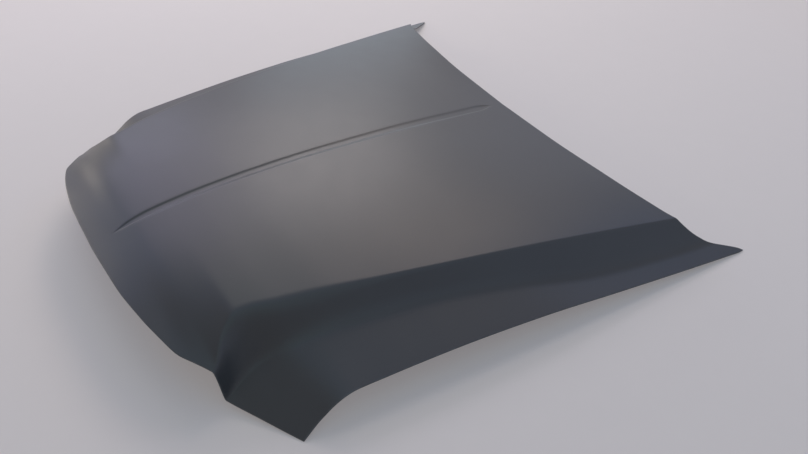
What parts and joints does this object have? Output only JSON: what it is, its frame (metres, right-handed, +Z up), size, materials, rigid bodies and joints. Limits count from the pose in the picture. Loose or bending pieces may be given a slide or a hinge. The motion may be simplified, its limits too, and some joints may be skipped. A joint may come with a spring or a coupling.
{
  "type": "car bonnet",
  "caption": "Pressed steel car bonnet, bare of paint: outer skin with side flanks and a fine middle groove, hemmed over a ribbed inner frame with hinge and latch plates.",
  "frame": {"origin": "middle of the bonnet's footprint, at the level of the floor it lies on", "axes": "+X towards the bonnet's left side, +Y towards the windscreen edge, +Z up"},
  "size_m": [1.396, 1.3618, 0.2045],
  "materials": {
    "dark_primer": "satin dark grey primer",
    "inner_primer": "satin dark grey primer, thinner than outside",
    "plate_primer": "dark grey primer over flat steel plate",
    "nut_steel": "dull plated steel",
    "mastic": "matt black mastic"
  },
  "bodies": {
    "root": {"hinge_nut_inner_left": "nut_steel", "hinge_nut_inner_right": "nut_steel", "hinge_nut_outer_left": "nut_steel", "hinge_nut_outer_right": "nut_steel", "hinge_plate_left": "plate_primer", "hinge_plate_right": "plate_primer", "inner_frame": "inner_primer", "latch_nut_left": "nut_steel", "latch_nut_right": "nut_steel", "latch_plate": "plate_primer", "mastic_front_inner_left": "mastic", "mastic_front_inner_right": "mastic", "mastic_front_outer_left": "mastic", "mastic_front_outer_right": "mastic", "mastic_rear_inner_left": "mastic", "mastic_rear_inner_right": "mastic", "mastic_rear_outer_left": "mastic", "mastic_rear_outer_right": "mastic", "outer_skin": "dark_primer"}
  },
  "joints": []
}
